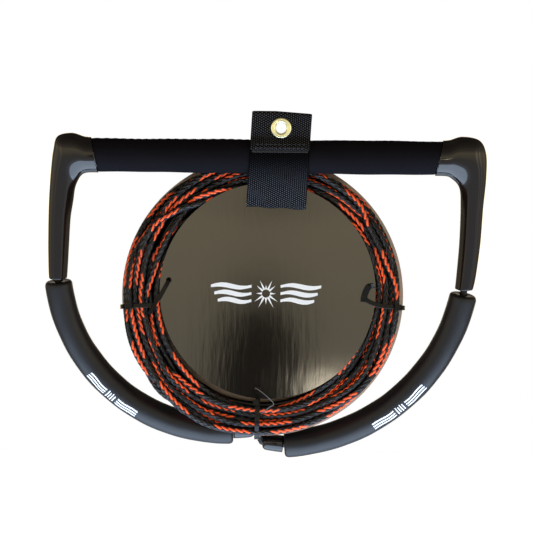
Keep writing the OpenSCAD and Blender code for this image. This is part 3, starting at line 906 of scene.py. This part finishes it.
def make_bridle_rope(yarn):
    """The stretches of the bridle rope that show: at the two leg ends, and between the sleeves."""

    def sparse(column, m):
        return (column == 2) & (m % 4 < 3)

    def bright(column, m):
        return column % 2 == 0

    left = [(-0.1787, -0.1), (-0.1787, -0.106), (-0.1786, -0.1112), (-0.1783, -0.118)]
    right = [(0.1716, -0.104), (0.1711, -0.1115), (0.1706, -0.1195), (0.169, -0.127)]
    apex = [(-0.0135, -0.2411), (-0.0095, -0.2408), (-0.006, -0.2415), (-0.0038, -0.2464)]
    apex += [(-0.0026, -0.2504), (0.0004, -0.2523), (0.0045, -0.2526)]
    stretches = (
        ("bridle_at_right_leg", right, bright),
        ("bridle_at_left_leg", left, orange_runs),
        ("bridle_apex", apex, sparse),
    )
    for name, route, runs in stretches:
        line = in_handle(smooth_path([(x, 0, z) for x, z in route], 6))
        braided(name, line, 0.0033, yarn, "handle", runs=runs)


# ---------- strap and eyelet ----------

STRAP_WIDTH, STRAP_THICK = 0.051, 0.0015


def meet(point, radius, side):
    """The angle round the bar where a straight line from the point touches a circle of this radius."""
    d = (point[0] - BAR[1], point[1] - BAR[2])
    far = math.hypot(*d)
    return math.degrees(math.atan2(d[1], d[0]) + side * math.acos(radius / far))


def strap_line():
    """The webbing's middle, depth and height, from its hidden end round to the flap."""
    bar = (BAR[1], BAR[2])
    wrap, outside = 0.0157, 0.01905  # the wrap's and the flap's distance from the bar's axis
    start = (0.00005, -0.011)
    line = [(0.00005, 0.0095), start]
    line += arc_points(bar, wrap, meet(start, wrap, 1), meet((0.0215, -0.063), wrap, -1) + 360, 20)
    # down in front of the cards, back through their slots, and up behind
    line += arc_points((0.0228, -0.0667), 0.0013, 180, 300, 8)
    line += [(0.0242, -0.0671), (0.0256, -0.0667), (0.036, -0.0667)]
    line += arc_points((0.0457, -0.0627), 0.004, 270, 360, 8)
    line += arc_points((0.0447, -0.0235), 0.005, 0, 80, 8)
    line += arc_points(bar, wrap, meet(line[-1], wrap, 1), 111, 6)
    # up the tab's back, over its top, and down in front over the wrap
    line += arc_points((0.00325, -0.0086), 0.0015, 262, 180, 6)
    line += arc_points((0.00005, 0.0122), 0.0017, 0, 180, 10)
    line += [(-0.00165, -0.0091)]
    line += arc_points(bar, outside, meet((-0.00165, -0.0091), outside, 1), 163, 10)
    return line


def strap_sag(y, z, across):
    """How far the webbing hangs off its straight route: in the lower fold and at the tab's top."""
    share = across / STRAP_WIDTH
    if y < 0.024 and z < -0.052:
        return (-0.0022 * share + 0.0005 * math.sin(across * 260)) * min(1, (-z - 0.052) / 0.012)
    if z > 0.002:
        return -0.0034 * max(0.0, share + 0.1) * (z - 0.002) / 0.011
    return 0.0


def make_strap(material):
    step = 0.0012
    path = spaced(strap_line(), step)
    t = tangents(path)
    normal = np.stack([-t[:, 1], t[:, 0]], axis=1)
    far = np.arange(len(path)) * step
    edge, columns = STRAP_WIDTH / 2, 30
    places = [-edge + STRAP_WIDTH * k / columns for k in range(columns + 1)]
    profile = [(a, 1.0) for a in places] + [(edge + 0.0003, 0.0)]
    profile += [(-a, -1.0) for a in places] + [(-edge - 0.0003, 0.0)]
    verts, flat = [], []
    for i, (y, z) in enumerate(path):
        for across, side in profile:
            off = side * STRAP_THICK / 2 * (0.55 if abs(across) > edge - 0.0005 else 1.0)
            drop = strap_sag(y, z, across)
            verts.append((across + LEAN * z, y + normal[i][0] * off, z + normal[i][1] * off + drop))
            flat.append((across, far[i]))
    sides = len(profile)
    faces = ring_faces(len(path), sides) + end_caps(len(verts), sides)
    piece = add_piece("hang_strap", verts, faces, [material], "pack")
    layer = piece.data.uv_layers.new(name="flat")
    loops = np.zeros(len(piece.data.loops), int)
    piece.data.loops.foreach_get("vertex_index", loops)
    layer.data.foreach_set("uv", np.array(flat)[loops].ravel())
    cut_hole(piece)
    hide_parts("strap_loop")


def cut_hole(piece):
    """A round hole for the eyelet through the strap's layers."""
    bpy.ops.mesh.primitive_cylinder_add(vertices=48, radius=0.0053, depth=0.009, location=(0, 0, 0))
    cutter = bpy.context.object
    cutter.rotation_euler = (math.radians(90), 0, 0)
    cut = piece.modifiers.new("hole", "BOOLEAN")
    cut.object = cutter
    cut.operation = "DIFFERENCE"
    cut.solver = "EXACT"
    bpy.context.view_layer.update()
    evaluated = piece.evaluated_get(bpy.context.evaluated_depsgraph_get())
    mesh = bpy.data.meshes.new_from_object(evaluated)
    piece.modifiers.clear()
    old = piece.data
    piece.data = mesh
    bpy.data.meshes.remove(old)
    bpy.data.objects.remove(cutter)


def make_eyelet(material):
    """Brass eyelet: a domed flange in front, the barrel, and the lip rolled over behind."""
    sides = 64
    profile = [(0.0089, 0.0025), (0.00895, 0.0029), (0.0086, 0.0034), (0.0078, 0.00365), (0.0066, 0.0036)]
    profile += [(0.0056, 0.00345), (0.005, 0.0032), (0.0046, 0.0026), (0.0045, 0.0018), (0.0045, -0.0032)]
    profile += [(0.0047, -0.0038), (0.0053, -0.0041), (0.006, -0.0039), (0.0064, -0.0035), (0.0052, -0.0034)]
    profile += [(0.0052, 0.0025)]
    verts = [(x, -z, y) for x, y, z in lathed(profile, sides)]
    faces = [tuple(k % len(verts) for k in face) for face in ring_faces(len(profile) + 1, sides)]
    piece = add_piece("eyelet_ring", verts, faces, [material], "pack")
    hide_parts("eyelet")


# ---------- ties and prints ----------


def ribbon(name, points, width, thick, side, material):
    """A flat moulded strip along the points. side is the direction of its width."""
    p = spaced(smooth_path(points, 4), 0.0008)
    t = tangents(p)
    s = np.array(side, float)[None] - (t @ np.array(side, float))[:, None] * t
    s /= np.linalg.norm(s, axis=1)[:, None]
    n = np.cross(t, s)
    shape = [(-1, -0.6), (-0.85, -1), (0.85, -1), (1, -0.6), (1, 0.6), (0.85, 1), (-0.85, 1), (-1, 0.6)]
    verts = np.stack([p + s * a * width / 2 + n * b * thick / 2 for a, b in shape], axis=1).reshape(-1, 3)
    return add_piece(name, verts, tube_faces(len(p), 8), [material], "pack", False)


def tie_head(name, place, size, material):
    bpy.ops.mesh.primitive_cube_add(size=1, location=place)
    head = bpy.context.object
    head.name = name
    head.data.name = name
    head.scale = size
    bevel = head.modifiers.new("edges", "BEVEL")
    bevel.width = 0.0006
    bevel.segments = 3
    head.data.materials.append(material)
    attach(head, "pack")


def wire(name, points, radius, material):
    p = spaced(smooth_path(points, 6), 0.001)
    _, u, w = directions(p, (0, 1, 0.1))
    verts = rope_tube(p, u, w, radius, 8)
    add_piece(name, verts, tube_faces(len(p), 8), [material], "pack")


def make_tie(name, band, width, across, head, size, material):
    """A tie's band, whose width lies across, and its head."""
    loop = ribbon(name + "_band", band, width, 0.0012, across, material)
    tie_head(name + "_head", head, size, material)
    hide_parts(name)


BACK = 0.0498  # depth of the bands behind the rear card


def make_left_tie(material):
    """A tail hangs down from the hole. The band crosses the coil to its head and goes round the rim."""
    end = [(-0.0964, 0.03, -0.1323), (-0.0954, 0.025, -0.1317), (-0.0958, 0.0222, -0.1325)]
    end += [(-0.1005, 0.0208, -0.141), (-0.107, 0.0206, -0.1525), (-0.1122, 0.0215, -0.1614)]
    ribbon("tie_left_tail", end, 0.0034, 0.0016, (1, 0, -0.58), material)
    band = [(-0.1075, 0.0222, -0.153), (-0.116, 0.0216, -0.1536), (-0.126, 0.0225, -0.1542)]
    band += [(-0.133, 0.0262, -0.1548), (-0.1364, 0.033, -0.155), (-0.137, 0.043, -0.1552)]
    band += [(-0.1356, 0.049, -0.1548), (-0.13, BACK, -0.152), (-0.115, BACK, -0.143)]
    band += [(-0.102, BACK, -0.1355), (-0.0996, 0.0478, -0.1341), (-0.0985, 0.042, -0.1335)]
    head, size = (-0.1294, 0.021, -0.1546), (0.0052, 0.0042, 0.0048)
    make_tie("tie_left", band, 0.0038, (0, 0.05, 1), head, size, material)


def make_right_tie(material):
    """A flat band across the coil, with a curled cut end and a thin tail."""
    band = [(0.073, 0.0262, -0.1456), (0.0736, 0.0226, -0.1462), (0.079, 0.0218, -0.1494)]
    band += [(0.088, 0.0216, -0.1519), (0.098, 0.0222, -0.1527), (0.104, 0.0262, -0.1534)]
    band += [(0.1076, 0.033, -0.1536), (0.108, 0.043, -0.1536), (0.1064, 0.049, -0.1534)]
    band += [(0.1, BACK, -0.1522), (0.085, BACK, -0.149), (0.076, BACK, -0.1462)]
    band += [(0.0731, 0.047, -0.1457)]
    head, size = (0.1022, 0.0216, -0.1532), (0.0054, 0.0044, 0.0052)
    make_tie("tie_right", band, 0.004, (0, 0.05, 1), head, size, material)
    curl = [(0.0726, 0.0222, -0.1486), (0.0729, 0.0216, -0.1456), (0.0742, 0.021, -0.141)]
    curl += [(0.0756, 0.0204, -0.1378), (0.0778, 0.02, -0.135), (0.0802, 0.0204, -0.135)]
    ribbon("tie_right_end", curl, 0.005, 0.0014, (1, 0, 0.3), material)
    thin = [(0.08, 0.0204, -0.1358), (0.085, 0.0198, -0.1372), (0.0895, 0.0196, -0.142)]
    thin += [(0.0912, 0.0204, -0.149)]
    wire("tie_right_whisker", thin, 0.0004, material)


def make_bottom_tie(material, clear):
    """Straight down over the coil, with a thin clear line beside it."""
    band = [(-0.0179, 0.034, -0.219), (-0.0179, 0.0268, -0.221), (-0.0178, 0.0256, -0.227)]
    band += [(-0.0178, 0.0226, -0.2352), (-0.018, 0.0212, -0.244), (-0.0183, 0.0216, -0.254)]
    band += [(-0.0185, 0.0262, -0.2625), (-0.0186, 0.033, -0.2672), (-0.0186, 0.043, -0.2676)]
    band += [(-0.0185, 0.049, -0.2652), (-0.0184, BACK, -0.26), (-0.018, BACK, -0.242)]
    band += [(-0.018, BACK, -0.231), (-0.018, 0.0478, -0.2289), (-0.0179, 0.0425, -0.2279)]
    head, size = (-0.0194, 0.0208, -0.2362), (0.005, 0.004, 0.0052)
    make_tie("tie_bottom", band, 0.004, (1, 0.05, 0), head, size, material)
    thin = [(-0.0195, 0.024, -0.224), (-0.016, 0.0225, -0.2262), (-0.011, 0.0205, -0.23)]
    thin += [(-0.004, 0.02, -0.2372), (-0.0078, 0.0198, -0.2402), (-0.015, 0.02, -0.2462)]
    wire("tie_bottom_whisker", thin, 0.00035, clear)


def wave_stripe(x0, x1, z, rise):
    """The outline of one stripe, which is plumpest near its middle."""
    steps, height = 24, 0.0042
    top, low = [], []
    for k in range(steps + 1):
        s = k / steps
        x = x0 + (x1 - x0) * s
        lift = rise * math.sin(s * math.pi * 2)
        thick = height * (0.55 + 0.45 * math.sin(math.pi * min(1, s * 1.1)))
        top.append((x, z + lift + thick / 2))
        low.append((x, z + lift - thick / 2))
    return top + low[::-1]


def burst(cx, cz, spikes):
    """Separate spikes round a centre, each with the angle and the reach of its tip."""
    inner, half = 0.0036, 16
    out = []
    for a, reach in spikes:
        turns = [(math.radians(t), r) for t, r in ((a + half, inner), (a, reach), (a - half, inner))]
        out.append([(cx + r * math.cos(t), cz + r * math.sin(t)) for t, r in turns])
    return out


def make_card_print(material):
    """Three wave stripes on each side of a splash, flat on the front card."""
    cx, cz = -0.0116, -0.1424
    y = 0.0238 - 0.00006
    shapes = []
    for k, z in enumerate((0.0062, 0.0, -0.0062)):
        shapes.append(wave_stripe(cx - 0.0475 + 0.003 * k, cx - 0.0125, cz + z, 0.0012))
        shapes.append(wave_stripe(cx + 0.0475 - 0.003 * k, cx + 0.0125, cz + z, -0.0012))
    spikes = [(90, 0.0075), (65, 0.0125), (40, 0.0105), (0, 0.0085), (-35, 0.0125), (-62, 0.014)]
    spikes += [(-90, 0.0095), (-118, 0.014), (-145, 0.0125), (180, 0.0085), (140, 0.0105), (115, 0.0125)]
    shapes += burst(cx, cz, spikes)
    verts, faces = [], []
    for shape in shapes:
        faces.append(tuple(range(len(verts), len(verts) + len(shape))))
        verts += [(x, y, z) for x, z in shape]
    add_piece("card_print", verts, faces, [material], "pack", False)


def make_float_print(name, arc, middle, spread, facing, body, material):
    """Three wave stripes on each side of a small mark, on a float's face.

    middle is the mark's angle along the arc, spread the stripes' reach, and facing the angle round it.
    """
    verts, faces = [], []
    rho = FLOAT_R + 0.00016
    steps, rows = 24, 4

    def patch(s0, s1, b0, b1, rise):
        first = len(verts)
        for i in range(steps + 1):
            s = s0 + (s1 - s0) * i / steps
            lift = rise * math.sin((s - s0) / (s1 - s0) * 2 * math.pi)
            for j in range(rows + 1):
                b = b0 + (b1 - b0) * j / rows + lift
                a = math.radians(middle) + s / arc[1]
                verts.append(on_float(arc, a, math.radians(b), rho))
        for i in range(steps):
            for j in range(rows):
                k = first + i * (rows + 1) + j
                faces.append((k, k + 1, k + rows + 2, k + rows + 1))

    for k in range(3):
        low = facing - 17 + 13 * k
        patch(-spread, -0.006, low, low + 7, 2)
        patch(0.006, spread, low, low + 7, -2)
    for k in range(4):
        low, high = facing - 20 + 3 * (k % 2), facing + 19 - 4 * (k % 2)
        patch(-0.004 + 0.0022 * k, -0.003 + 0.0022 * k, low, high, 0)
    add_piece(name, in_handle(verts), faces, [material], body, False)


def dress(node, material):
    """Gives a piece that is shown as its CAD shape a material."""
    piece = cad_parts[node]
    piece.data.materials.clear()
    piece.data.materials.append(material)


# ---------- build ----------

make_camera()
bpy.context.scene.view_settings.view_transform = "Standard"
make_world()
make_floor()
YARN = [
    rope_yarn("yarn_black", (0.0022, 0.0022, 0.003), 0.36),
    rope_yarn("yarn_charcoal", (0.01, 0.011, 0.014), 0.42),
    rope_yarn("yarn_orange", (1.0, 0.115, 0.022), 0.6),
]
make_ropes(YARN)
make_bridle_rope(YARN)

PLASTIC = elbow_plastic()
FOAM = float_foam()
GLOSS = gloss_black()
CLOTH = grip_cloth()
make_grip(CLOTH)
make_elbow("left_elbow_shell", "left_elbow", 0.004, 0.1086, -1, [PLASTIC, CLOTH])
make_elbow("right_elbow_shell", "right_elbow", -0.004, 0.1148, 1, [PLASTIC, CLOTH])
make_float("left_foam_float", "left_float", LEFT_FLOAT, "float_left", FOAM)
make_float("right_foam_float", "right_float", RIGHT_FLOAT, "float_right", FOAM)
make_sleeve("left_sleeve", "left_end_sleeve", LEFT_FLOAT, 0.0002, 87.5, 1, GLOSS)
make_sleeve("right_sleeve", "right_end_sleeve", RIGHT_FLOAT, -0.0008, 84, -1, GLOSS)

make_strap(webbing_cloth())
make_eyelet(brass_metal())
NYLON = tie_nylon()
make_left_tie(NYLON)
make_right_tie(NYLON)
make_bottom_tie(NYLON, clear_nylon())
INK = white_ink()
make_card_print(INK)
make_float_print("left_float_print", LEFT_FLOAT, 229.2, 0.026, 60, "float_left", INK)
make_float_print("right_float_print", RIGHT_FLOAT, -50.0, 0.0275, 64, "float_right", INK)

dress("bar_tube", bar_metal())
dress("bridle_rope", YARN[0])
dress("bridle_splice", YARN[0])
dress("hook_patch", napped())
dress("loop_patch", napped())
dress("strap_stitching", rope_yarn("stitch_thread", (0.02, 0.021, 0.026), 0.5))
dress("eyelet_washer", brass_metal())
dress("boat_loop_sleeve", GLOSS)
FRONT_PRINT = card_stock("front_card_stock", -1, (0.006, 0.005, 0.004), 0.09, (-0.0102, -0.1402))
REAR_PRINT = card_stock("rear_card_stock", 1, (0.014, 0.012, 0.009), 0.2, (-0.0145, -0.1438))
dress("front_card", FRONT_PRINT)
dress("rear_card", REAR_PRINT)
